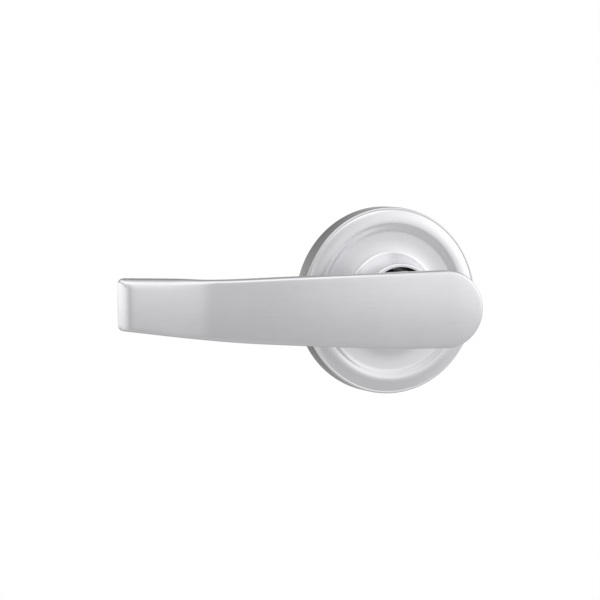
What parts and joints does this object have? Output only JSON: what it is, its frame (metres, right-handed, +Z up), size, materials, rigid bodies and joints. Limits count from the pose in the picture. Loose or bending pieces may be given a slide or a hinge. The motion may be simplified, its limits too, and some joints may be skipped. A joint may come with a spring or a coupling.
{
  "type": "lever handle lockset",
  "caption": "Passage lever lockset: flat swept lever on a stepped round rose, with cylindrical chassis, through spindle, spring latch and handed inside trim.",
  "frame": {"origin": "on the axis of the levers, in the plane of the door's outside face", "axes": "+Z up, +X towards the edge of the door where the latch bolt leaves it, +Y from the outside of the door to the inside; the outside lever faces -Y and points to -X"},
  "size_m": [0.2067, 0.1715, 0.075],
  "materials": {
    "satin_chrome": "satin chrome, straight brushed",
    "satin_chrome_rose": "satin chrome, brushed round the axis",
    "zinc_plate": "bright zinc plated steel, with a slight yellow cast",
    "cast_zinc": "die cast zinc, matt",
    "steel": "plain machined steel",
    "spring_steel": "oiled spring wire",
    "black_steel": "black oxide",
    "nylon": "natural nylon"
  },
  "bodies": {
    "lockset": {"outside_rose": "satin_chrome_rose", "outside_mounting_plate": "zinc_plate", "outside_bushing": "nylon", "outside_return_spring": "spring_steel", "inside_rose": "satin_chrome_rose", "inside_mounting_plate": "zinc_plate", "inside_bushing": "nylon", "inside_return_spring": "spring_steel", "chassis_housing": "zinc_plate", "chassis_cap": "zinc_plate", "latch_case": "zinc_plate", "latch_faceplate": "satin_chrome", "latch_bolt_spring": "spring_steel", "sleeve_upper": "zinc_plate", "through_bolt_upper": "zinc_plate", "retractor_spring_upper": "spring_steel", "faceplate_screw_upper": "satin_chrome", "sleeve_lower": "zinc_plate", "through_bolt_lower": "zinc_plate", "retractor_spring_lower": "spring_steel", "faceplate_screw_lower": "satin_chrome"},
    "outside_lever_set": {"outside_lever": "satin_chrome", "outside_spring_driver": "steel", "outside_retaining_ring": "spring_steel", "outside_lever_pin": "steel", "spindle": "steel", "outside_rollback_cam": "steel", "inside_rollback_cam": "steel", "spindle_spacer": "steel"},
    "inside_lever_set": {"inside_lever": "satin_chrome", "inside_spring_driver": "steel", "inside_retaining_ring": "spring_steel", "inside_set_screw": "black_steel"},
    "retractor_slide": {"retractor": "cast_zinc"},
    "latch_bolt_set": {"latch_bolt": "satin_chrome", "latch_tail": "steel", "latch_tail_pin": "steel"}
  },
  "joints": [
    {"name": "outside_lever_turn", "type": "hinge", "parent": "lockset", "child": "outside_lever_set", "pos_m": [0, 0, 0], "axis": [0, -1, 0], "range_deg": [0, 45], "stiffness_Nm_per_rad": 1.5, "springref_deg": -34.38, "deforming": ["outside_return_spring"]},
    {"name": "inside_lever_turn", "type": "hinge", "parent": "lockset", "child": "inside_lever_set", "pos_m": [0, 0.04445, 0], "axis": [0, -1, 0], "range_deg": [0, 45], "stiffness_Nm_per_rad": 1.5, "springref_deg": -34.38, "deforming": ["inside_return_spring"]},
    {"name": "retractor_travel", "type": "slide", "parent": "lockset", "child": "retractor_slide", "axis": [-1, 0, 0], "range_m": [0, 0.0127], "stiffness_N_per_m": 400, "springref_m": -0.01, "deforming": ["retractor_spring_upper", "retractor_spring_lower"]},
    {"name": "latch_bolt_travel", "type": "slide", "parent": "lockset", "child": "latch_bolt_set", "axis": [-1, 0, 0], "range_m": [0, 0.0127], "stiffness_N_per_m": 150, "springref_m": -0.012, "deforming": ["latch_bolt_spring"]}
  ],
  "couplings": [
    {"joint": "inside_lever_turn", "follows": "outside_lever_turn", "ratio": 1},
    {"joint": "retractor_travel", "follows": "outside_lever_turn", "m_per_rad": 0.01617},
    {"joint": "latch_bolt_travel", "follows": "outside_lever_turn", "m_per_rad": 0.01617}
  ]
}
